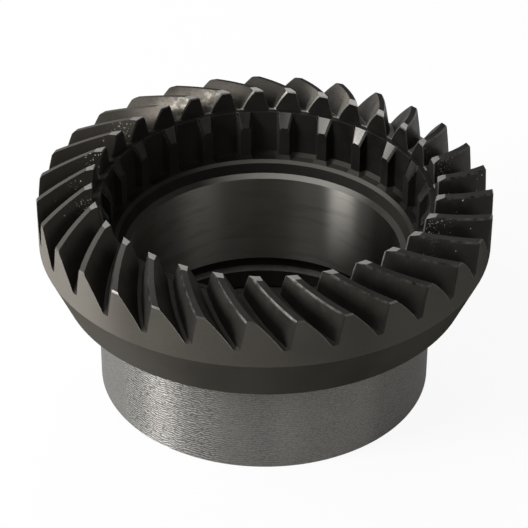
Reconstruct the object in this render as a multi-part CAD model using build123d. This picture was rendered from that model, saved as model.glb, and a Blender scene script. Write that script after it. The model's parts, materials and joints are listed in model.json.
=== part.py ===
from build123d import *
from math import atan2, cos, radians, sin, tan
import os

# Spiral bevel gear with a splined socket and a tubular hub, one solid of case-hardened steel.
# Millimetres and degrees. The origin is on the axis at the hub's lower end, +Z towards the teeth.

# hub and back of the blank
hub_diameter = 90.0
hub_height = 31.2
hub_edge = 0.3
hub_root_fillet = 1.0
back_face_edge = 0.4
back_cone_height = 12.9
back_cone_reach = 5.5
outside_diameter = 120.1
heel_face_height = 13.4
heel_tip_edge = 0.35

# bore, from its lower edge up to the socket's lip; widths are steps outwards all round
bore_diameter = 73.4
bore_edge = 0.8
bore_lead_in_width = 1.45
bore_lead_in_height = 1.0
throat_taper = 1.2
throat_height = 2.5
lip_chamfer_width = 1.0
lip_chamfer_height = 0.7

# ring groove near the bore's lower end
groove_height = 6.2
groove_width = 4.5
groove_depth = 1.6
groove_lower_bevel = 0.9

# splined socket
spline_count = 24
first_spline_angle = 7.7
spline_land_height = 2.15
spline_land_width = 2.85
spline_root_width = 4.35
spline_length = 13.6
spline_lead_in = 3.9
spline_lead_in_bevel = 0.5
spline_end_edge = 1.0
spline_corner = 0.5

# toothed face, from the crown ring round the socket down to the heel
socket_wall = 1.7
socket_depth = 5.7
crown_width = 2.2
toe_edge = 0.3
face_fall = 16.0

# teeth, seen from above: each runs from toe to heel while it turns counter-clockwise,
# its leading flank is the counter-clockwise one and its trailing flank the steeper one
tooth_count = 31
first_tooth_angle = 92.3
tooth_sweep = 12.1
tooth_bow = 0.04
top_land_width = 2.05
toe_tooth_depth = 6.15
heel_tooth_depth = 8.5
toe_root_width = 1.8
heel_root_width = 1.45
root_fillet = 0.45
leading_flank_crown = 0.25
trailing_flank_crown = 0.08
leading_tip_edge = 0.2
trailing_tip_edge = 0.55

# how much of a gap's narrowing from its top to its root the leading flank takes
toe_leading_share = 0.68
heel_leading_share = 0.79

# bevels round the ends of the gaps between the teeth
toe_leading_edge = 0.25
toe_trailing_edge = 0.12
heel_leading_edge = 0.12
heel_trailing_edge = 0.4

# cutters: how far they run past the metal, as lengths and as a share of the spline's lead-in,
# and the sections that carry a tooth gap's sweep
cutter_overrun = 3.0
bevel_overrun = 0.05
lead_in_overrun = 0.1
gap_section_count = 6

# radii, from the axis outwards
bore_radius = bore_diameter / 2
groove_radius = bore_radius + groove_depth
throat_radius = bore_radius + bore_lead_in_width
lip_inner_radius = throat_radius + throat_taper
lip_radius = lip_inner_radius + lip_chamfer_width
spline_minor_radius = lip_radius + spline_end_edge
spline_major_radius = spline_minor_radius + spline_land_height
toe_radius = spline_major_radius + socket_wall
crown_radius = toe_radius + crown_width
hub_radius = hub_diameter / 2
outside_radius = outside_diameter / 2
back_face_radius = outside_radius - back_cone_reach

# levels, from the hub's lower end up to the crown, then down inside to the bore
back_face_z = hub_height
heel_bottom_z = back_face_z + back_cone_height
heel_top_z = heel_bottom_z + heel_face_height
crown_z = heel_top_z + (outside_radius - crown_radius) * tan(radians(face_fall))
socket_z = crown_z - socket_depth
shoulder_z = socket_z - spline_length
throat_z = shoulder_z - lip_chamfer_height
lead_in_z = throat_z - throat_height
bore_top_z = lead_in_z - bore_lead_in_height

tooth_pitch = 360 / tooth_count
spline_pitch = 360 / spline_count
spline_land_flare = (spline_root_width - spline_land_width) / spline_land_height


def face_level(radius):
    """Height of the teeth's face cone at a radius, carried on past the flat crown."""
    return crown_z - (radius - crown_radius) * tan(radians(face_fall))


def blank():
    """The turned gear blank, with the spline still a plain ring of its lands' height."""
    outline = [
        (bore_radius + bore_edge, 0),
        (hub_radius - hub_edge, 0),
        (hub_radius, hub_edge),
        (hub_radius, back_face_z),
        (back_face_radius - back_face_edge, back_face_z),
        (back_face_radius, back_face_z + back_face_edge),
        (outside_radius, heel_bottom_z),
        (outside_radius, heel_top_z - heel_tip_edge),
        (outside_radius - heel_tip_edge, face_level(outside_radius - heel_tip_edge)),
        (crown_radius, crown_z),
        (toe_radius + toe_edge, crown_z),
        (toe_radius, crown_z - toe_edge),
        (toe_radius, socket_z),
        (spline_major_radius, socket_z),
        (spline_minor_radius, socket_z - spline_lead_in),
        (spline_minor_radius, shoulder_z + spline_end_edge),
        (lip_radius, shoulder_z),
        (lip_inner_radius, throat_z),
        (throat_radius, lead_in_z),
        (bore_radius, bore_top_z),
        (bore_radius, groove_height + groove_width),
        (groove_radius, groove_height + groove_width),
        (groove_radius, groove_height + groove_lower_bevel),
        (bore_radius, groove_height),
        (bore_radius, bore_edge),
    ]
    half_section = make_face(Plane.XZ * Polyline(*outline, close=True))
    hub_corner = half_section.vertices().sort_by_distance((hub_radius, 0, back_face_z))[0]
    return revolve(fillet(hub_corner, hub_root_fillet), Axis.Z)


def share_along(radius):
    """0 at the tooth's toe, 1 at its heel."""
    return (radius - toe_radius) / (outside_radius - toe_radius)


def between(toe_value, heel_value, radius):
    """A tooth's size at a radius, which goes evenly from its toe value to its heel value."""
    return toe_value + (heel_value - toe_value) * share_along(radius)


def land_angle(radius):
    """Direction of the first tooth's top land at a radius, following its slight arc."""
    share = share_along(radius)
    return first_tooth_angle + tooth_sweep * share * (1 + tooth_bow * (1 - share))


def gap_section(radius, leading_growth=0, trailing_growth=0):
    """Outline of one tooth gap in the plane square to the radius, its flanks moved out by the growths."""
    half_gap = (radius * radians(tooth_pitch) - top_land_width) / 2
    narrowing = 2 * half_gap - between(toe_root_width, heel_root_width, radius)
    leading_share = between(toe_leading_share, heel_leading_share, radius)
    depth = between(toe_tooth_depth, heel_tooth_depth, radius)
    leading = atan2(narrowing * leading_share, depth)
    trailing = atan2(narrowing * (1 - leading_share), depth)
    depth += leading_growth
    left = -half_gap - leading_growth / cos(leading)
    right = half_gap + trailing_growth / cos(trailing)
    face_z = face_level(radius)
    top_z = crown_z + cutter_overrun

    # the tips' bevels start on the flanks and run on at 45 degrees to as far above the face
    left_tip = (left + leading_tip_edge * tan(leading), face_z - leading_tip_edge)
    right_tip = (right - trailing_tip_edge * tan(trailing), face_z - trailing_tip_edge)
    left_brow = (left_tip[0] - 2 * leading_tip_edge, face_z + leading_tip_edge)
    right_brow = (right_tip[0] + 2 * trailing_tip_edge, face_z + trailing_tip_edge)
    left_root = (left + depth * tan(leading), face_z - depth)
    right_root = (right - depth * tan(trailing), face_z - depth)
    left_middle = (
        (left_tip[0] + left_root[0]) / 2 + leading_flank_crown,
        (left_tip[1] + left_root[1]) / 2 + leading_flank_crown * tan(leading),
    )
    right_middle = (
        (right_tip[0] + right_root[0]) / 2 - trailing_flank_crown,
        (right_tip[1] + right_root[1]) / 2 + trailing_flank_crown * tan(trailing),
    )
    edges = [
        Line((left_brow[0], top_z), left_brow),
        Line(left_brow, left_tip),
        ThreePointArc(left_tip, left_middle, left_root),
        Line(left_root, right_root),
        ThreePointArc(right_root, right_middle, right_tip),
        Line(right_tip, right_brow),
        Line(right_brow, (right_brow[0], top_z)),
        Line((right_brow[0], top_z), (left_brow[0], top_z)),
    ]
    flat = make_face(edges)
    root_corners = flat.vertices().sort_by(Axis.Y)[:2]
    direction = radians(land_angle(radius) + tooth_pitch / 2)
    outward = Vector(cos(direction), sin(direction), 0)
    plane = Plane(origin=outward * radius, x_dir=(-sin(direction), cos(direction), 0), z_dir=outward)
    return plane * fillet(root_corners, root_fillet)


def gap_end(end_radius, outward, leading_edge, trailing_edge):
    """Cutter for the bevel round a gap's end, from inside the gap to well off the end face."""
    reach = outward * max(leading_edge, trailing_edge)
    inside = gap_section(end_radius - 2 * reach, -leading_edge, -trailing_edge)
    outside = gap_section(end_radius + reach, 2 * leading_edge, 2 * trailing_edge)
    return loft([inside, outside], ruled=True)


def tooth_gaps():
    """Cutters for every gap between the teeth, with the bevels round both of its ends."""
    start = toe_radius - cutter_overrun
    spacing = (outside_radius + cutter_overrun - start) / (gap_section_count - 1)
    gap = loft([gap_section(start + spacing * number) for number in range(gap_section_count)])
    gap += gap_end(toe_radius, -1, toe_leading_edge, toe_trailing_edge)
    gap += gap_end(outside_radius, 1, heel_leading_edge, heel_trailing_edge)
    return [Rot(0, 0, tooth_pitch * number) * gap for number in range(tooth_count)]


def land_half_width(radius):
    """Half of a spline land's width at a radius."""
    return (spline_land_width + (radius - spline_minor_radius) * spline_land_flare) / 2


def spline_gap_face(level, inset):
    """Flat outline of one spline gap about +X, drawn in by an inset on its walls."""
    outer = spline_major_radius - inset
    inner = lip_radius - spline_end_edge

    def wall_point(radius, side):
        angle = side * (radians(spline_pitch) / 2 - (land_half_width(radius) + inset) / radius)
        return (radius * cos(angle), radius * sin(angle))

    edges = [
        Line(wall_point(inner, -1), wall_point(outer, -1)),
        ThreePointArc(wall_point(outer, -1), (outer, 0), wall_point(outer, 1)),
        Line(wall_point(outer, 1), wall_point(inner, 1)),
        Line(wall_point(inner, 1), wall_point(inner, -1)),
    ]
    flat = make_face(edges)
    corners = flat.vertices().sort_by(Axis.X)[-2:]
    return Pos(0, 0, level) * fillet(corners, spline_corner)


def lead_in_section(share, side):
    """Section of the cutter that bevels a land's side, at a share of the way up the lead-in."""
    rise = Vector(spline_major_radius - spline_minor_radius, 0, spline_lead_in)
    radius = spline_minor_radius + share * rise.X
    angle = radians(spline_pitch) / 2 - land_half_width(radius) / radius
    origin = (radius * cos(angle), 0, socket_z - (1 - share) * spline_lead_in)
    wall = radius * sin(angle)
    outline = [
        (side * (wall - bevel_overrun), -spline_lead_in_bevel - bevel_overrun),
        (side * (wall + spline_lead_in_bevel + bevel_overrun), bevel_overrun),
        (side * (wall - bevel_overrun), bevel_overrun),
    ]
    return Plane(origin=origin, x_dir=(0, 1, 0), z_dir=rise) * make_face(Polyline(*outline, close=True))


def spline_gaps():
    """Cutters for every gap between the spline's lands, bevelled along its lead-in and lower end."""
    full = spline_gap_face(shoulder_z + spline_end_edge, 0)
    drawn_in = spline_gap_face(shoulder_z, spline_end_edge)
    height = spline_length - spline_end_edge + cutter_overrun
    gap = extrude(full, height, dir=(0, 0, 1)) + loft([drawn_in, full], ruled=True)
    for side in (-1, 1):
        low_end = lead_in_section(-lead_in_overrun, side)
        high_end = lead_in_section(1 + lead_in_overrun, side)
        gap += loft([low_end, high_end], ruled=True)
    start = first_spline_angle + spline_pitch / 2
    return [Rot(0, 0, start + spline_pitch * number) * gap for number in range(spline_count)]


gear = blank() - tooth_gaps() - spline_gaps()

os.makedirs("parts", exist_ok=True)
export_step(gear, "parts/spiral_bevel_gear.step")

print("volume", gear.volume, "faces", len(gear.faces()), "solids", len(gear.solids()))
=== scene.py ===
import bpy
import json
import math
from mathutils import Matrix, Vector

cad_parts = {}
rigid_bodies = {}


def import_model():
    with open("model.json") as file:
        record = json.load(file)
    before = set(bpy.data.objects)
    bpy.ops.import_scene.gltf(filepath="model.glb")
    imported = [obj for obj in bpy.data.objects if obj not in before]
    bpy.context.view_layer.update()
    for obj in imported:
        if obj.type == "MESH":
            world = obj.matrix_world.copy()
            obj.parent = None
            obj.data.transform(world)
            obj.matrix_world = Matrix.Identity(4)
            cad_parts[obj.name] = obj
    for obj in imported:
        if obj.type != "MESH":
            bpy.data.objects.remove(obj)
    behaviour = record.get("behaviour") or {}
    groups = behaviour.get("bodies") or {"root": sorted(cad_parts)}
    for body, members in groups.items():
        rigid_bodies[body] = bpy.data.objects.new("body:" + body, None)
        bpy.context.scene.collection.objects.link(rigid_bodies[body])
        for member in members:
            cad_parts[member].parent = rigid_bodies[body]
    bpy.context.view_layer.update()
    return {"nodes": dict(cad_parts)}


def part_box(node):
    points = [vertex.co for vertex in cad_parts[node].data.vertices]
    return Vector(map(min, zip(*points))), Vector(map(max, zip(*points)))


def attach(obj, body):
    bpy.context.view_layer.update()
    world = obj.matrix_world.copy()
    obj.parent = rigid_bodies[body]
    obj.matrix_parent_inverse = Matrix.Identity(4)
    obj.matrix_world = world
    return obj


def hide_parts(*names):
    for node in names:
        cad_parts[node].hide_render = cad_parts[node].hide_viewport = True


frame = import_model()
print("frame loaded:", sorted(frame["nodes"]))

gearNode = "spiral_bevel_gear"
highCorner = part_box(gearNode)[1]

# the gear's sizes that its finishes follow, in metres and degrees;
# the top of the bore and the levels of the socket are taken down from the crown
crownHeight = highCorner[2]
gearSizes = {
    "hubRadius": 0.045,
    "boreRadius": 0.0367,
    "shoulderRadius": 0.04035,
    "toeRadius": 0.0452,
    "crownRadius": 0.0474,
    "outsideRadius": highCorner[0],
    "hubHeight": 0.0312,
    "heelBottom": 0.0441,
    "grooveTop": 0.0107,
    "boreTop": crownHeight - 0.0235,
    "leadInTop": crownHeight - 0.0225,
    "throatTop": crownHeight - 0.02,
    "shoulder": crownHeight - 0.0193,
    "splineEndTop": crownHeight - 0.017,
    "socketTop": crownHeight - 0.0057,
    "crown": crownHeight,
    "faceFall": 16.0,
}


def put(tree, kind, inputs=None, **options):
    # adds one shader node, sets its options, and sets or links its inputs
    node = tree.nodes.new(kind)
    for name, value in options.items():
        setattr(node, name, value)
    for name, value in (inputs or {}).items():
        if isinstance(value, bpy.types.NodeSocket):
            tree.links.new(value, node.inputs[name])
        else:
            node.inputs[name].default_value = value
    return node


def maths(tree, operation, first, second=0.0):
    return put(tree, "ShaderNodeMath", {0: first, 1: second}, operation=operation).outputs[0]


def vectorMaths(tree, operation, inputs, output="Vector"):
    return put(tree, "ShaderNodeVectorMath", inputs, operation=operation).outputs[output]


def ramp(tree, value, low, high, toLow=0.0, toHigh=1.0):
    # smooth change from toLow to toHigh while value goes from low to high
    ends = {"Value": value, "From Min": low, "From Max": high, "To Min": toLow, "To Max": toHigh}
    return put(tree, "ShaderNodeMapRange", ends, interpolation_type="SMOOTHSTEP").outputs[0]


def mixColour(tree, factor, first, second):
    # from the first colour to the second while factor goes from 0 to 1
    node = put(tree, "ShaderNodeMix", {"Factor": factor}, data_type="RGBA")
    for name, value in (("A_Color", first), ("B_Color", second)):
        socket = next(s for s in node.inputs if s.identifier == name)
        if isinstance(value, bpy.types.NodeSocket):
            tree.links.new(value, socket)
        else:
            socket.default_value = (*value, 1)
    return next(s for s in node.outputs if s.identifier == "Result_Color")


def objectPlace(tree):
    return put(tree, "ShaderNodeTexCoord").outputs["Object"]


def stretched(tree, place, sideways, upwards):
    # the place with one scale across the gear's axis and another along it
    return vectorMaths(tree, "MULTIPLY", {0: place, 1: (sideways, sideways, upwards)})


def axisDistance(tree, place):
    return vectorMaths(tree, "LENGTH", {0: stretched(tree, place, 1.0, 0.0)}, "Value")


def noise(tree, place, scale, detail=2.0, roughness=0.5):
    values = {"Vector": place, "Scale": scale, "Detail": detail, "Roughness": roughness}
    return put(tree, "ShaderNodeTexNoise", values).outputs["Fac"]


# the camera stands in front of the gear, raised by its elevation, in degrees;
# target is the sideways place and the height that it aims at
cameraSettings = {
    "lens": 151.75,
    "sensorWidth": 36,
    "distance": 0.5995,
    "elevation": 34.45,
    "roll": 0.3,
    "target": (-0.0002, 0.0336),
    "clip": (0.01, 20),
}


def makeCamera():
    tilt = math.radians(cameraSettings["elevation"])
    reach = cameraSettings["distance"]
    sideways, upwards = cameraSettings["target"]
    place = (sideways, -reach * math.cos(tilt), upwards + reach * math.sin(tilt))
    bpy.ops.object.select_all(action="DESELECT")
    bpy.ops.object.camera_add(location=place, rotation=(math.pi / 2 - tilt, 0, 0))
    camera = bpy.context.object
    camera.name = "camera"
    camera.rotation_euler.rotate_axis("Z", math.radians(cameraSettings["roll"]))
    camera.data.lens = cameraSettings["lens"]
    camera.data.sensor_width = cameraSettings["sensorWidth"]
    camera.data.clip_start, camera.data.clip_end = cameraSettings["clip"]
    bpy.context.scene.camera = camera


# lamps round the gear, in degrees, metres and watts; size is the lamp's width and height
lightSettings = {
    "windowLow": {"azimuth": -158, "elevation": 22, "distance": 1.1, "size": (0.4, 0.4), "power": 18.3},
    "windowHigh": {"azimuth": -142, "elevation": 58, "distance": 1.1, "size": (0.7, 0.6), "power": 4.0},
    "back": {"azimuth": 92, "elevation": 36, "distance": 1.1, "size": (0.9, 0.35), "power": 6.0},
    "fill": {"azimuth": -31, "elevation": 30, "distance": 1.3, "size": (0.75, 0.5), "power": 2.9},
    "side": {"azimuth": 165, "elevation": 20, "distance": 1.1, "size": (0.7, 0.6), "power": 5.2},
}


def makeLamp(name, azimuth, elevation, distance, size, power):
    turn = math.radians(azimuth)
    tilt = math.radians(elevation)
    middle = Vector((0, 0, gearSizes["hubHeight"]))
    towards = Vector((math.cos(turn) * math.cos(tilt), math.sin(turn) * math.cos(tilt), math.sin(tilt)))
    bpy.ops.object.select_all(action="DESELECT")
    bpy.ops.object.light_add(type="AREA", location=middle + towards * distance,
                             rotation=towards.to_track_quat("Z", "Y").to_euler())
    lamp = bpy.context.object
    lamp.name = name
    lamp.data.shape = "RECTANGLE"
    lamp.data.size, lamp.data.size_y = size
    lamp.data.energy = power


worldSettings = {"ambient": 0.05, "colour": (1, 1, 1, 1)}


def whiteRays(tree):
    # 1 for what the camera, a reflection or glass sees directly, 0 for light that falls on things
    rays = put(tree, "ShaderNodeLightPath").outputs
    either = maths(tree, "MAXIMUM", rays["Is Camera Ray"], rays["Is Glossy Ray"])
    return maths(tree, "MAXIMUM", either, rays["Is Transmission Ray"])


def makeWorld():
    world = bpy.data.worlds.new("studio")
    world.use_nodes = True
    tree = world.node_tree
    background = tree.nodes["Background"].inputs
    strength = ramp(tree, whiteRays(tree), 0, 1, worldSettings["ambient"], 1)
    tree.links.new(strength, background["Strength"])
    background["Color"].default_value = worldSettings["colour"]
    bpy.context.scene.world = world


# under the hub the floor shows dark paint, a painted shade, so that the bore looks down on a shaded floor
floorSettings = {
    "size": 6,
    "whiteShare": 0.92,
    "paint": (0.7, 0.7, 0.7),
    "shadedPaint": (0.05, 0.05, 0.05),
    "darkWithin": 0.0425,
    "whiteFrom": 0.045,
}


def makeFloor():
    bpy.ops.object.select_all(action="DESELECT")
    bpy.ops.mesh.primitive_plane_add(size=floorSettings["size"])
    floor = bpy.context.object
    floor.name = "floor"
    material = bpy.data.materials.new("paleFloor")
    material.use_nodes = True
    tree = material.node_tree
    tree.nodes.clear()
    radius = axisDistance(tree, objectPlace(tree))
    clear = ramp(tree, radius, floorSettings["darkWithin"], floorSettings["whiteFrom"])
    share = maths(tree, "MULTIPLY", clear, floorSettings["whiteShare"])
    share = maths(tree, "MULTIPLY", whiteRays(tree), share)
    # dark paint under the hub: painted shade
    colour = mixColour(tree, clear, floorSettings["shadedPaint"], floorSettings["paint"])
    paint = put(tree, "ShaderNodeBsdfDiffuse", {"Color": colour}).outputs[0]
    white = put(tree, "ShaderNodeEmission", {"Strength": 1.0}).outputs[0]
    both = put(tree, "ShaderNodeMixShader", {0: share, 1: paint, 2: white}).outputs[0]
    put(tree, "ShaderNodeOutputMaterial", {"Surface": both})
    floor.data.materials.append(material)


makeCamera()
for name, values in lightSettings.items():
    makeLamp(name, **values)
makeWorld()
makeFloor()
bpy.context.scene.view_settings.view_transform = "Standard"
print("camera, lamps, floor and white background made")


def newGroup(name, inputs, output):
    # an empty shader group with number inputs at their usual values, and one number output
    group = bpy.data.node_groups.new(name, "ShaderNodeTree")
    for label, usual in inputs.items():
        socket = group.interface.new_socket(label, in_out="INPUT", socket_type="NodeSocketFloat")
        socket.default_value = usual
    group.interface.new_socket(output, in_out="OUTPUT", socket_type="NodeSocketFloat")
    given = group.nodes.new("NodeGroupInput").outputs
    out = group.nodes.new("NodeGroupOutput").inputs[output]
    return group, given, out


turnedLines = {
    "inputs": {"Pitch": 0.0006, "Waviness": 1.0, "Wave Scale": 260.0, "Grain": 0.5},
    "grainAcross": 1300.0,
    "grainAlong": 2600.0,
    "ridge": (0.1, 0.7),
}


def makeTurnedLines():
    # tool marks round the axis: broken ridges of a pitch that wander up and down, from 0 to 1
    group, given, out = newGroup("turnedLines", turnedLines["inputs"], "Value")
    place = objectPlace(group)
    upwards = put(group, "ShaderNodeSeparateXYZ", {0: place}).outputs["Z"]
    wander = maths(group, "MULTIPLY", noise(group, place, given["Wave Scale"]), given["Waviness"])
    turns = maths(group, "ADD", maths(group, "DIVIDE", upwards, given["Pitch"]), wander)
    ridge = maths(group, "SINE", maths(group, "MULTIPLY", turns, math.tau))
    grainPlace = stretched(group, place, turnedLines["grainAcross"], turnedLines["grainAlong"])
    loose = maths(group, "SUBTRACT", noise(group, grainPlace, 1.0, 1.0), 0.5)
    both = maths(group, "ADD", ridge, maths(group, "MULTIPLY", loose, given["Grain"]))
    group.links.new(ramp(group, both, *turnedLines["ridge"]), out)
    return group


streaks = {
    "inputs": {"Around": 40.0, "Along": 900.0},
    "detail": 3.0,
    "roughness": 0.6,
    "band": (0.3, 0.7),
}


def makeStreaks():
    # soft bands round the axis, from 0 to 1
    group, given, out = newGroup("streaks", streaks["inputs"], "Value")
    scales = {"X": given["Around"], "Y": given["Around"], "Z": given["Along"]}
    spread = put(group, "ShaderNodeCombineXYZ", scales).outputs[0]
    place = vectorMaths(group, "MULTIPLY", {0: objectPlace(group), 1: spread})
    bands = noise(group, place, 1.0, streaks["detail"], streaks["roughness"])
    group.links.new(ramp(group, bands, *streaks["band"]), out)
    return group


mottle = {
    "inputs": {"Broad": 90.0, "Fine": 900.0, "Fine Share": 0.3},
    "broadDetail": 3.0,
    "cloud": (0.32, 0.68),
}


def makeMottle():
    # uneven oxide: broad clouds broken by fine ones, from 0 to 1
    group, given, out = newGroup("mottle", mottle["inputs"], "Value")
    place = objectPlace(group)
    broad = ramp(group, noise(group, place, given["Broad"], mottle["broadDetail"]), *mottle["cloud"])
    fine = ramp(group, noise(group, place, given["Fine"]), *mottle["cloud"])
    both = put(group, "ShaderNodeMix", {"Factor": given["Fine Share"], "A": broad, "B": fine})
    group.links.new(both.outputs["Result"], out)
    return group


edgeWear = {
    "inputs": {"Reach": 0.0004, "Breaks": 900.0},
    "samples": 8,
    "corner": (0.85, 0.45),
    "breaks": (0.3, 0.6),
    "brokenShare": 0.35,
}


def makeEdgeWear():
    # 1 at outward corners, fading over the reach, broken by noise
    group, given, out = newGroup("edgeWear", edgeWear["inputs"], "Mask")
    inside = put(group, "ShaderNodeAmbientOcclusion", {"Distance": given["Reach"]},
                 samples=edgeWear["samples"], inside=True, only_local=True).outputs["AO"]
    corner = ramp(group, inside, *edgeWear["corner"])
    breaks = noise(group, objectPlace(group), given["Breaks"])
    broken = ramp(group, breaks, *edgeWear["breaks"], edgeWear["brokenShare"], 1.0)
    group.links.new(maths(group, "MULTIPLY", corner, broken), out)
    return group


specks = {
    "inputs": {"Cells": 1000.0, "Size": 0.12, "Share": 0.3},
    "pullScale": 2300.0,
    "pull": 0.0006,
    "sizeSpread": (0.25, 1.1),
}


def makeSpecks():
    # sparse dots of chips and dust, at most one in each cell, pulled out of round
    group, given, out = newGroup("specks", specks["inputs"], "Mask")
    place = objectPlace(group)
    pullValues = {"Vector": place, "Scale": specks["pullScale"], "Detail": 1.0}
    pull = put(group, "ShaderNodeTexNoise", pullValues).outputs["Color"]
    pulled = vectorMaths(group, "MULTIPLY_ADD", {0: pull, 1: (specks["pull"],) * 3, 2: place})
    cell = put(group, "ShaderNodeTexVoronoi", {"Vector": pulled, "Scale": given["Cells"]}).outputs
    chance = put(group, "ShaderNodeSeparateColor", {0: cell["Color"]}).outputs
    size = ramp(group, chance["Green"], 0.0, 1.0, *specks["sizeSpread"])
    dot = maths(group, "LESS_THAN", cell["Distance"], maths(group, "MULTIPLY", given["Size"], size))
    chosen = maths(group, "LESS_THAN", chance["Red"], given["Share"])
    group.links.new(maths(group, "MULTIPLY", dot, chosen), out)
    return group


effects = {
    "turnedLines": makeTurnedLines(),
    "streaks": makeStreaks(),
    "mottle": makeMottle(),
    "edgeWear": makeEdgeWear(),
    "specks": makeSpecks(),
}
print("effect groups made:", ", ".join(effects))


def useEffect(tree, name, inputs):
    return put(tree, "ShaderNodeGroup", inputs, node_tree=effects[name]).outputs[0]


def startSteel(name, metallic=0.0, anisotropic=0.0):
    # a steel with its even values on the shader's own sockets; anisotropic is for turned surfaces
    material = bpy.data.materials.new(name)
    material.use_nodes = True
    tree = material.node_tree
    sockets = tree.nodes["Principled BSDF"].inputs
    sockets["Metallic"].default_value = metallic
    sockets["Specular IOR Level"].default_value = 0.0  # matt oxide: only the metallic share mirrors
    if anisotropic:
        sockets["Anisotropic"].default_value = anisotropic
        sockets["Anisotropic Rotation"].default_value = 0.25  # a quarter turn: highlights run up and down
        tangent = put(tree, "ShaderNodeTangent", direction_type="RADIAL", axis="Z")
        tree.links.new(tangent.outputs[0], sockets["Tangent"])
    return material, tree, sockets


def shades(tree, value, colour, spread):
    # the colour from (1 - spread) to (1 + spread) of itself while value goes from 0 to 1
    dark = tuple(part * (1 - spread) for part in colour)
    light = tuple(part * (1 + spread) for part in colour)
    return mixColour(tree, value, dark, light)


def roundShare(tree, place, parts):
    # a part of the round has its full share within a third of its reach and none outside its reach;
    # directions and reaches are in degrees, and a part with no share has 1
    flat = vectorMaths(tree, "NORMALIZE", {0: stretched(tree, place, 1.0, 0.0)})
    share = 0.0
    for part in parts:
        turn = math.radians(part["direction"])
        reach = math.radians(part["reach"])
        towards = (math.cos(turn), math.sin(turn), 0)
        along = vectorMaths(tree, "DOT_PRODUCT", {0: flat, 1: towards}, "Value")
        mask = ramp(tree, along, math.cos(reach), math.cos(reach / 3), 0, part.get("share", 1))
        share = maths(tree, "MAXIMUM", mask, share)
    return share


def bump(tree, height, depth):
    return put(tree, "ShaderNodeBump", {"Height": height, "Distance": depth, "Strength": 1.0}).outputs[0]


# dull is the light that the bare metal scatters, raised in one part round the hub as a painted highlight;
# bright is what it mirrors between and on the tool marks in the coarse parts, which stand where the lamp's
# highlight falls and so carry a painted highlight, and plain the same everywhere else
hubSteel = {
    "tint": (1.0, 0.968, 0.908),
    "anisotropic": 1.0,
    "roughness": (0.42, 0.48),
    "dull": 0.079,
    "dullSpread": 0.2,
    "brightBetween": 0.01,
    "brightOn": 0.185,
    "plainBetween": 0.03,
    "plainOn": 0.07,
    "lines": {"Pitch": 0.00068, "Waviness": 2.6, "Wave Scale": 380.0, "Grain": 3.8},
    "lineDepth": 0.000012,
    "clouds": {"Broad": 60.0, "Fine": 2300.0, "Fine Share": 0.8},
    "edge": (0.2, 0.195, 0.185),
    "reach": 0.0005,
    "coarseMarksAndHighlight": [{"direction": -125.0, "reach": 25.0}],
    "paintedLightSide": [{"direction": -68.0, "reach": 24.0}],
    "paintedLightGain": 1.35,
}


def makeHubSteel(name):
    material, tree, sockets = startSteel(name, anisotropic=hubSteel["anisotropic"])
    place = objectPlace(tree)
    lines = useEffect(tree, "turnedLines", hubSteel["lines"])
    clouds = useEffect(tree, "mottle", hubSteel["clouds"])
    # coarse tool marks, strongest where the lamp's highlight falls: real marks with a painted highlight
    coarseMarksAndHighlight = roundShare(tree, place, hubSteel["coarseMarksAndHighlight"])
    between = ramp(tree, coarseMarksAndHighlight, 0, 1, hubSteel["plainBetween"], hubSteel["brightBetween"])
    on = ramp(tree, coarseMarksAndHighlight, 0, 1, hubSteel["plainOn"], hubSteel["brightOn"])
    rise = maths(tree, "MULTIPLY", lines, maths(tree, "SUBTRACT", on, between))
    bright = maths(tree, "ADD", between, rise)
    least = hubSteel["dull"] * (1 - hubSteel["dullSpread"])
    most = hubSteel["dull"] * (1 + hubSteel["dullSpread"])
    # more scattered light in one part round the hub: painted highlight
    gain = ramp(tree, roundShare(tree, place, hubSteel["paintedLightSide"]), 0, 1, 1, hubSteel["paintedLightGain"])
    dull = maths(tree, "MULTIPLY", ramp(tree, clouds, 0, 1, least, most), gain)
    total = maths(tree, "ADD", bright, dull)
    shade = vectorMaths(tree, "SCALE", {0: hubSteel["tint"], "Scale": total})
    wear = useEffect(tree, "edgeWear", {"Reach": hubSteel["reach"]})
    tree.links.new(mixColour(tree, wear, shade, hubSteel["edge"]), sockets["Base Color"])
    tree.links.new(maths(tree, "DIVIDE", bright, total), sockets["Metallic"])
    tree.links.new(ramp(tree, clouds, 0, 1, *hubSteel["roughness"]), sockets["Roughness"])
    tree.links.new(bump(tree, lines, hubSteel["lineDepth"]), sockets["Normal"])
    return material


boreSteel = {
    "colour": (0.217, 0.201, 0.174),
    "metallic": 1.0,
    "anisotropic": 1.0,
    "roughness": 0.28,
    "spread": 0.08,
    "lines": {"Pitch": 0.0004, "Waviness": 0.3, "Wave Scale": 60.0, "Grain": 0.05},
    "lineDepth": 0.0000003,
    "bands": {"Around": 60.0, "Along": 420.0},
    # the bore's darker side is painted shade, and its lighter parts painted highlight
    "paintedShade": (0.12, 0.112, 0.1),
    "paintedShadeParts": [{"direction": 17.0, "reach": 33.0}],
    "wearAndPaintedLight": (0.32, 0.305, 0.28),
    "paintedHighlightBands": (0, 0.5),
    "paintedHighlightLeast": 0.55,
    "wearAndPaintedLightParts": [{"direction": 57.5, "reach": 25.0}, {"direction": 121.0, "reach": 30.0}],
}


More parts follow.
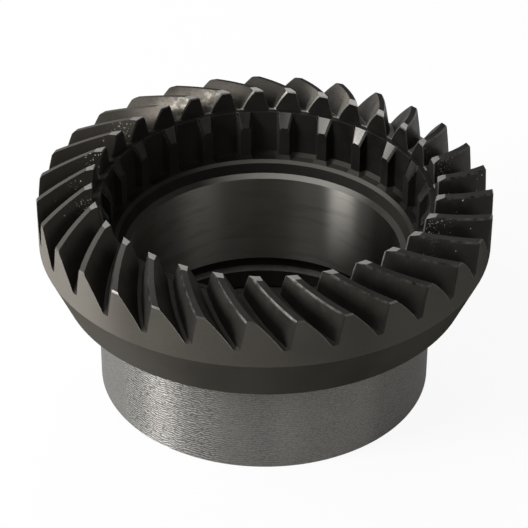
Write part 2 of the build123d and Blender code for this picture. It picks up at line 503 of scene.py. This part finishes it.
def makeBoreSteel(name):
    material, tree, sockets = startSteel(name, boreSteel["metallic"], boreSteel["anisotropic"])
    place = objectPlace(tree)
    lines = useEffect(tree, "turnedLines", boreSteel["lines"])
    bands = useEffect(tree, "streaks", boreSteel["bands"])
    colour = shades(tree, bands, boreSteel["colour"], boreSteel["spread"])
    # darker towards one side round the bore: painted shade
    colour = mixColour(tree, roundShare(tree, place, boreSteel["paintedShadeParts"]), colour, boreSteel["paintedShade"])
    # lighter in bands where the lamps' highlights fall round the bore: painted highlight
    banded = ramp(tree, bands, *boreSteel["paintedHighlightBands"], boreSteel["paintedHighlightLeast"], 1)
    wearAndPaintedLight = maths(tree, "MULTIPLY", roundShare(tree, place, boreSteel["wearAndPaintedLightParts"]), banded)
    tree.links.new(mixColour(tree, wearAndPaintedLight, colour, boreSteel["wearAndPaintedLight"]), sockets["Base Color"])
    sockets["Roughness"].default_value = boreSteel["roughness"]
    tree.links.new(bump(tree, lines, boreSteel["lineDepth"]), sockets["Normal"])
    return material


# black oxide on turned and milled surfaces; edge is the colour that worn corners show within the reach; a
# lighter colour by direction round the axis stands where the lamps fall: painted light
oxideFinishes = {
    "headSteel": {
        "colour": (0.055, 0.0508, 0.0435), "metallic": 0.02, "roughness": 0.42, "spread": 0.12,
        "clouds": {"Broad": 45.0, "Fine": 1400.0}, "edge": (0.16, 0.155, 0.145), "reach": 0.0003,
        "wearAndPaintedLight": (0.115, 0.107, 0.094),
        "wearAndPaintedLightParts": [{"direction": -155.0, "reach": 34.0},
                        {"direction": -40.0, "reach": 30.0, "share": 0.3}],
    },
    "coneSteel": {
        "colour": (0.0362, 0.0335, 0.0285), "metallic": 0.0, "roughness": 0.45, "spread": 0.15,
        "clouds": {"Broad": 60.0, "Fine": 1400.0}, "edge": (0.12, 0.115, 0.105), "reach": 0.0002,
        "wearAndPaintedLight": (0.054, 0.0505, 0.044),
        "wearAndPaintedLightParts": [{"direction": -150.0, "reach": 44.0},
                        {"direction": -32.0, "reach": 34.0, "share": 0.45}],
    },
    "endSteel": {
        "colour": (0.13, 0.127, 0.12), "metallic": 0.25, "roughness": 0.4, "spread": 0.1,
        "clouds": {"Broad": 60.0, "Fine": 1400.0}, "edge": (0.2, 0.195, 0.185), "reach": 0.0003,
    },
    "landSteel": {
        "colour": (0.023, 0.022, 0.0205), "metallic": 0.02, "roughness": 0.4, "spread": 0.15,
        "clouds": {"Broad": 120.0, "Fine": 1600.0}, "edge": (0.15, 0.145, 0.135), "reach": 0.0002,
        "wearAndPaintedLight": (0.066, 0.0635, 0.059),
        "wearAndPaintedLightParts": [{"direction": 175.0, "reach": 75.0},
                        {"direction": -10.0, "reach": 45.0, "share": 0.4}],
    },
    "crownSteel": {
        "colour": (0.16, 0.156, 0.15), "metallic": 0.08, "roughness": 0.35, "spread": 0.1,
        "clouds": {"Broad": 200.0, "Fine": 2200.0}, "edge": (0.5, 0.49, 0.47), "reach": 0.0002,
        "wearAndPaintedLight": (0.26, 0.255, 0.245),
        "wearAndPaintedLightParts": [{"direction": 68.0, "reach": 48.0}],
    },
    "socketSteel": {
        "colour": (0.024, 0.0225, 0.020), "metallic": 0.78, "roughness": 0.33, "spread": 0.2,
        "clouds": {"Broad": 150.0, "Fine": 1800.0}, "edge": (0.14, 0.13, 0.12), "reach": 0.0003,
        "wearAndPaintedLight": (0.05, 0.047, 0.042),
        "wearAndPaintedLightParts": [{"direction": 118.0, "reach": 62.0}],
    },
    "rootSteel": {
        "colour": (0.012, 0.0113, 0.0102), "metallic": 0.1, "roughness": 0.45, "spread": 0.2,
        "clouds": {"Broad": 150.0, "Fine": 1800.0}, "edge": (0.05, 0.047, 0.043), "reach": 0.0002,
    },
    "throatSteel": {
        "colour": (0.014, 0.0132, 0.0118), "metallic": 0.05, "roughness": 0.45, "spread": 0.15,
        "clouds": {"Broad": 100.0, "Fine": 1200.0}, "edge": (0.05, 0.047, 0.043), "reach": 0.0001,
    },
    "rimSteel": {
        "colour": (0.022, 0.021, 0.0188), "metallic": 0.05, "roughness": 0.4, "spread": 0.1,
        "clouds": {"Broad": 100.0, "Fine": 1200.0}, "edge": (0.06, 0.057, 0.052), "reach": 0.0002,
        "wearAndPaintedLight": (0.085, 0.08, 0.072),
        "wearAndPaintedLightParts": [{"direction": 72.0, "reach": 58.0}],
    },
    "bandSteel": {
        "colour": (0.035, 0.033, 0.030), "metallic": 0.05, "roughness": 0.4, "spread": 0.1,
        "clouds": {"Broad": 100.0, "Fine": 1200.0}, "edge": (0.07, 0.067, 0.06), "reach": 0.0001,
        "wearAndPaintedLight": (0.23, 0.22, 0.2),
        "wearAndPaintedLightParts": [{"direction": 79.0, "reach": 42.0}],
    },
    "grooveBevelSteel": {
        "colour": (0.07, 0.066, 0.06), "metallic": 0.4, "roughness": 0.4, "spread": 0.3,
        "clouds": {"Broad": 100.0, "Fine": 1200.0}, "edge": (0.2, 0.19, 0.17), "reach": 0.0003,
    },
    # the groove and the bore below it: dark steel as painted shade
    "paintedShadeGrooveSteel": {
        "colour": (0.03, 0.028, 0.0255), "metallic": 0.1, "roughness": 0.4, "spread": 0.2,
        "clouds": {"Broad": 100.0, "Fine": 1200.0}, "edge": (0.09, 0.085, 0.076), "reach": 0.0003,
    },
    "splineEndSteel": {
        "colour": (0.010, 0.0095, 0.0085), "metallic": 0.1, "roughness": 0.45, "spread": 0.2,
        "clouds": {"Broad": 150.0, "Fine": 1800.0}, "edge": (0.05, 0.047, 0.043), "reach": 0.0003,
        "wearAndPaintedLight": (0.035, 0.033, 0.029),
        "wearAndPaintedLightParts": [{"direction": 60.0, "reach": 32.0}],
    },
    "leadInSteel": {
        "colour": (0.016, 0.0152, 0.014), "metallic": 0.6, "roughness": 0.46, "spread": 0.35,
        "clouds": {"Broad": 250.0, "Fine": 1500.0}, "edge": (0.2, 0.192, 0.178), "reach": 0.0003,
        "wearAndPaintedLight": (0.095, 0.09, 0.085),
        "wearAndPaintedLightParts": [{"direction": 58.0, "reach": 32.0}],
    },
    "toeSteel": {
        "colour": (0.026, 0.0247, 0.0225), "metallic": 0.5, "roughness": 0.4, "spread": 0.5,
        "clouds": {"Broad": 250.0, "Fine": 1300.0}, "edge": (0.12, 0.115, 0.105), "reach": 0.0002,
        "wearAndPaintedLight": (0.13, 0.125, 0.115),
        "wearAndPaintedLightParts": [{"direction": 75.0, "reach": 50.0}, {"direction": -14.0, "reach": 58.0}],
    },
    "edgeSteel": {
        "colour": (0.029, 0.0275, 0.025), "metallic": 0.6, "roughness": 0.37, "spread": 0.7,
        "clouds": {"Broad": 500.0, "Fine": 1500.0}, "edge": (0.18, 0.175, 0.16), "reach": 0.0002,
    },
    "tipSteel": {
        "colour": (0.042, 0.04, 0.037), "metallic": 0.95, "roughness": 0.32, "spread": 0.3,
        "clouds": {"Broad": 300.0, "Fine": 1500.0}, "edge": (0.1, 0.096, 0.09), "reach": 0.0002,
    },
}
oxideRoughnessSpread = 0.05


def makeOxideSteel(name):
    settings = oxideFinishes[name]
    material, tree, sockets = startSteel(name, settings["metallic"])
    clouds = useEffect(tree, "mottle", settings["clouds"])
    wear = useEffect(tree, "edgeWear", {"Reach": settings["reach"]})
    colour = shades(tree, clouds, settings["colour"], settings["spread"])
    if "wearAndPaintedLightParts" in settings:
        # lighter by direction round the axis: painted light
        wearAndPaintedLight = roundShare(tree, objectPlace(tree), settings["wearAndPaintedLightParts"])
        colour = mixColour(tree, wearAndPaintedLight, colour, settings["wearAndPaintedLight"])
    tree.links.new(mixColour(tree, wear, colour, settings["edge"]), sockets["Base Color"])
    smooth = settings["roughness"] - oxideRoughnessSpread
    rough = settings["roughness"] + oxideRoughnessSpread
    tree.links.new(ramp(tree, clouds, 0, 1, smooth, rough), sockets["Roughness"])
    return material


# tooth flanks: dark oxide with patches that the mating teeth rubbed, lighter where the lamps fall as a
# painted highlight
flankFinishes = {
    "trailingSteel": {
        "colour": (0.024, 0.0222, 0.0195), "metallic": 0.4, "roughness": (0.35, 0.47),
        "wearAndPaintedLight": (0.032, 0.029, 0.025), "rubPatches": (0.3, 0.8),
    },
    "contactSteel": {
        "colour": (0.026, 0.0235, 0.020), "metallic": 0.35, "roughness": (0.35, 0.47),
        "wearAndPaintedLight": (0.11, 0.099, 0.085), "rubPatches": (0.2, 0.5),
    },
}

# wear and painted light that both flanks share; a noise is its scale, detail and roughness, and the two
# radii are where the wear ends and where it is full
flankWear = {
    "clouds": {"Broad": 160.0, "Fine": 1500.0},
    "spread": 0.12,
    "edge": (0.19, 0.182, 0.166),
    "reach": 0.00018,
    "paintedShade": (0.013, 0.0115, 0.0095),
    "paintedShadeLeast": 0.8,
    "paintedShadeParts": [{"direction": 172.0, "reach": 32.0, "share": 0.75}],
    "rubNoise": (130.0, 4.0, 0.65),
    "rubRadii": (0.0585, 0.049),
    "rubLeast": 0.35,
    "wearAndPaintedLightParts": [{"direction": 117.0, "reach": 23.0, "share": 0.62}, {"direction": 64.0, "reach": 16.0}],
    "pitNoise": (1900.0, 2.0),
    "pits": (0.58, 0.66),
    "pitLeast": 0.3,
    "scuffAndHighlight": (0.24, 0.225, 0.198),
    "scuffNoise": (520.0, 4.0, 0.7),
    "scuffPatches": (0.46, 0.66),
    "scuffRadii": (0.053, 0.047),
    "scuffAndHighlightParts": [{"direction": 113.0, "reach": 15.0, "share": 0.8}],
    "chip": (0.45, 0.43, 0.38),
    "clumps": {"Cells": 2100.0, "Size": 0.34, "Share": 0.6},
    "strays": {"Cells": 620.0, "Size": 0.14, "Share": 0.3},
    "dirtNoise": (75.0, 1.0),
    "dirtPatches": (0.42, 0.48),
    "dirtRadii": (0.0525, 0.047),
    "dirtyParts": [{"direction": 167.0, "reach": 33.0}, {"direction": -6.0, "reach": 36.0}],
    "chipDepth": 0.00001,
}


def makeFlankSteel(name):
    settings = flankFinishes[name]
    material, tree, sockets = startSteel(name, settings["metallic"])
    place = objectPlace(tree)
    radius = axisDistance(tree, place)
    clouds = useEffect(tree, "mottle", flankWear["clouds"])
    colour = shades(tree, clouds, settings["colour"], flankWear["spread"])
    # darker on the left-hand flanks, broken by the clouds: painted shade
    paintedShade = roundShare(tree, place, flankWear["paintedShadeParts"])
    paintedShade = maths(tree, "MULTIPLY", paintedShade, ramp(tree, clouds, 0, 1, flankWear["paintedShadeLeast"], 1))
    colour = mixColour(tree, paintedShade, colour, flankWear["paintedShade"])
    # rubbed patches, stronger towards the toe and less in the pits, set where the back teeth catch the
    # light: partly wear, partly painted highlight
    rubAndHighlight = ramp(tree, noise(tree, place, *flankWear["rubNoise"]), *settings["rubPatches"])
    rubAndHighlight = maths(tree, "MULTIPLY", rubAndHighlight, roundShare(tree, place, flankWear["wearAndPaintedLightParts"]))
    rubAndHighlight = maths(tree, "MULTIPLY", rubAndHighlight, ramp(tree, radius, *flankWear["rubRadii"], flankWear["rubLeast"], 1))
    pits = ramp(tree, noise(tree, place, *flankWear["pitNoise"]), *flankWear["pits"])
    rubAndHighlight = maths(tree, "MULTIPLY", rubAndHighlight, ramp(tree, pits, 0, 1, 1, flankWear["pitLeast"]))
    colour = mixColour(tree, rubAndHighlight, colour, settings["wearAndPaintedLight"])
    # scuffs near the toe, brightest on the back-left teeth where the light falls: partly wear, partly
    # painted highlight
    scuffAndHighlightMask = ramp(tree, noise(tree, place, *flankWear["scuffNoise"]), *flankWear["scuffPatches"])
    scuffAndHighlightMask = maths(tree, "MULTIPLY", scuffAndHighlightMask, roundShare(tree, place, flankWear["scuffAndHighlightParts"]))
    scuffAndHighlightMask = maths(tree, "MULTIPLY", scuffAndHighlightMask, ramp(tree, radius, *flankWear["scuffRadii"]))
    colour = mixColour(tree, scuffAndHighlightMask, colour, flankWear["scuffAndHighlight"])
    wear = useEffect(tree, "edgeWear", {"Reach": flankWear["reach"]})
    colour = mixColour(tree, wear, colour, flankWear["edge"])
    # pale chips: clumps of small ones near the toe and a few larger strays
    dirty = ramp(tree, noise(tree, place, *flankWear["dirtNoise"]), *flankWear["dirtPatches"])
    dirty = maths(tree, "MULTIPLY", dirty, ramp(tree, radius, *flankWear["dirtRadii"]))
    clumps = maths(tree, "MULTIPLY", useEffect(tree, "specks", flankWear["clumps"]), dirty)
    chips = maths(tree, "MAXIMUM", clumps, useEffect(tree, "specks", flankWear["strays"]))
    chips = maths(tree, "MULTIPLY", chips, roundShare(tree, place, flankWear["dirtyParts"]))
    tree.links.new(mixColour(tree, chips, colour, flankWear["chip"]), sockets["Base Color"])
    tree.links.new(ramp(tree, clouds, 0, 1, *settings["roughness"]), sockets["Roughness"])
    height = maths(tree, "SUBTRACT", chips, pits)
    tree.links.new(bump(tree, height, flankWear["chipDepth"]), sockets["Normal"])
    return material


finishes = {"hubSteel": makeHubSteel("hubSteel"), "boreSteel": makeBoreSteel("boreSteel")}
finishes.update({name: makeOxideSteel(name) for name in oxideFinishes})
finishes.update({name: makeFlankSteel(name) for name in flankFinishes})
print("finishes made:", ", ".join(finishes))

bodySettings = {
    "mergeDistance": 1e-6,
    "sharpAngle": 19.0,
    "near": 0.0004,
    "tipBevel": 0.0006,
    "grooveReach": 0.002,
}

# how far a face has to look up, down, out or in to be each of these, from 0 to 1
facing = {
    "level": 0.99,
    "land": 0.93,
    "tipBevel": 0.5,
    "grooveBevel": 0.3,
    "splineBevel": 0.2,
    "under": 0.95,
    "side": 0.9,
    "outerSide": 0.5,
}


def faceLevel(radius):
    # height of the teeth's face cone at a radius
    fall = math.tan(math.radians(gearSizes["faceFall"]))
    return gearSizes["crown"] - (radius - gearSizes["crownRadius"]) * fall


def insideFinish(radius, height, upwards):
    # the bore, from its lower edge to the shoulder, and the socket above
    near = bodySettings["near"]
    if height < gearSizes["boreTop"]:
        # the groove and the bore's lower land take a dark finish, a painted shade
        inGroove = radius > gearSizes["boreRadius"] + near or height < gearSizes["grooveTop"]
        if inGroove and upwards > facing["grooveBevel"]:
            return "grooveBevelSteel"
        return "paintedShadeGrooveSteel" if inGroove else "boreSteel"
    if height < gearSizes["leadInTop"]:
        return "bandSteel"
    if height < gearSizes["throatTop"]:
        return "throatSteel"
    if height < gearSizes["shoulder"] and radius < gearSizes["shoulderRadius"]:
        return "rimSteel"
    if height > gearSizes["socketTop"] - near:
        return "rootSteel"
    if upwards > facing["splineBevel"]:
        return "splineEndSteel" if height < gearSizes["splineEndTop"] else "leadInSteel"
    return "socketSteel"


def toothFinish(radius, height, upwards, around):
    # the toothed face: crown, top lands, bevels along the tips, roots, toe bevels, and both flanks
    near = bodySettings["near"]
    belowFace = faceLevel(radius) - height
    if upwards > facing["level"] and height > gearSizes["crown"] - near:
        return "crownSteel"
    if upwards > facing["land"] and belowFace < near:
        return "landSteel"
    if upwards > facing["tipBevel"] and belowFace < bodySettings["tipBevel"]:
        if radius > gearSizes["outsideRadius"] - near:
            return "tipSteel"
        if around < 0:
            return "edgeSteel"
    if upwards > facing["level"]:
        return "rootSteel"
    if radius < gearSizes["toeRadius"] + near:
        return "toeSteel"
    return "contactSteel" if around > 0 else "trailingSteel"


def finishOf(centre, normal):
    # the finish of one face, from its place and the way it looks
    near = bodySettings["near"]
    radius = math.hypot(centre.x, centre.y)
    outward = (normal.x * centre.x + normal.y * centre.y) / radius
    around = (normal.y * centre.x - normal.x * centre.y) / radius
    if centre.z < near and normal.z < -facing["under"]:
        return "endSteel"
    boreReach = gearSizes["boreRadius"] + bodySettings["grooveReach"]
    inBore = radius < boreReach and outward < facing["outerSide"]
    inSocket = radius < gearSizes["toeRadius"] - near and centre.z > gearSizes["hubHeight"]
    if inBore or inSocket:
        return insideFinish(radius, centre.z, normal.z)
    if centre.z < gearSizes["hubHeight"] + near and radius < gearSizes["hubRadius"] + near:
        return "hubSteel"
    if centre.z < gearSizes["heelBottom"]:
        return "coneSteel"
    if radius > gearSizes["outsideRadius"] - near and outward > facing["side"]:
        return "headSteel"
    if outward < -facing["side"]:
        return "socketSteel"
    return toothFinish(radius, centre.z, normal.z, around)


def makeBody():
    body = bpy.data.objects.new("gearBody", frame["nodes"][gearNode].data.copy())
    bpy.context.scene.collection.objects.link(body)
    bpy.ops.object.select_all(action="DESELECT")
    body.select_set(True)
    bpy.context.view_layer.objects.active = body
    bpy.ops.object.mode_set(mode="EDIT")
    bpy.ops.mesh.select_all(action="SELECT")
    bpy.ops.mesh.remove_doubles(threshold=bodySettings["mergeDistance"])
    bpy.ops.object.mode_set(mode="OBJECT")
    body.data.materials.clear()
    order = list(finishes)
    for name in order:
        body.data.materials.append(finishes[name])
    for face in body.data.polygons:
        face.material_index = order.index(finishOf(face.center, face.normal))
    bpy.ops.mesh.customdata_custom_splitnormals_clear()
    bpy.ops.object.shade_smooth_by_angle(angle=math.radians(bodySettings["sharpAngle"]))
    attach(body, "root")
    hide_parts(gearNode)
    return body


body = makeBody()
print("gear body:", len(body.data.polygons), "faces")
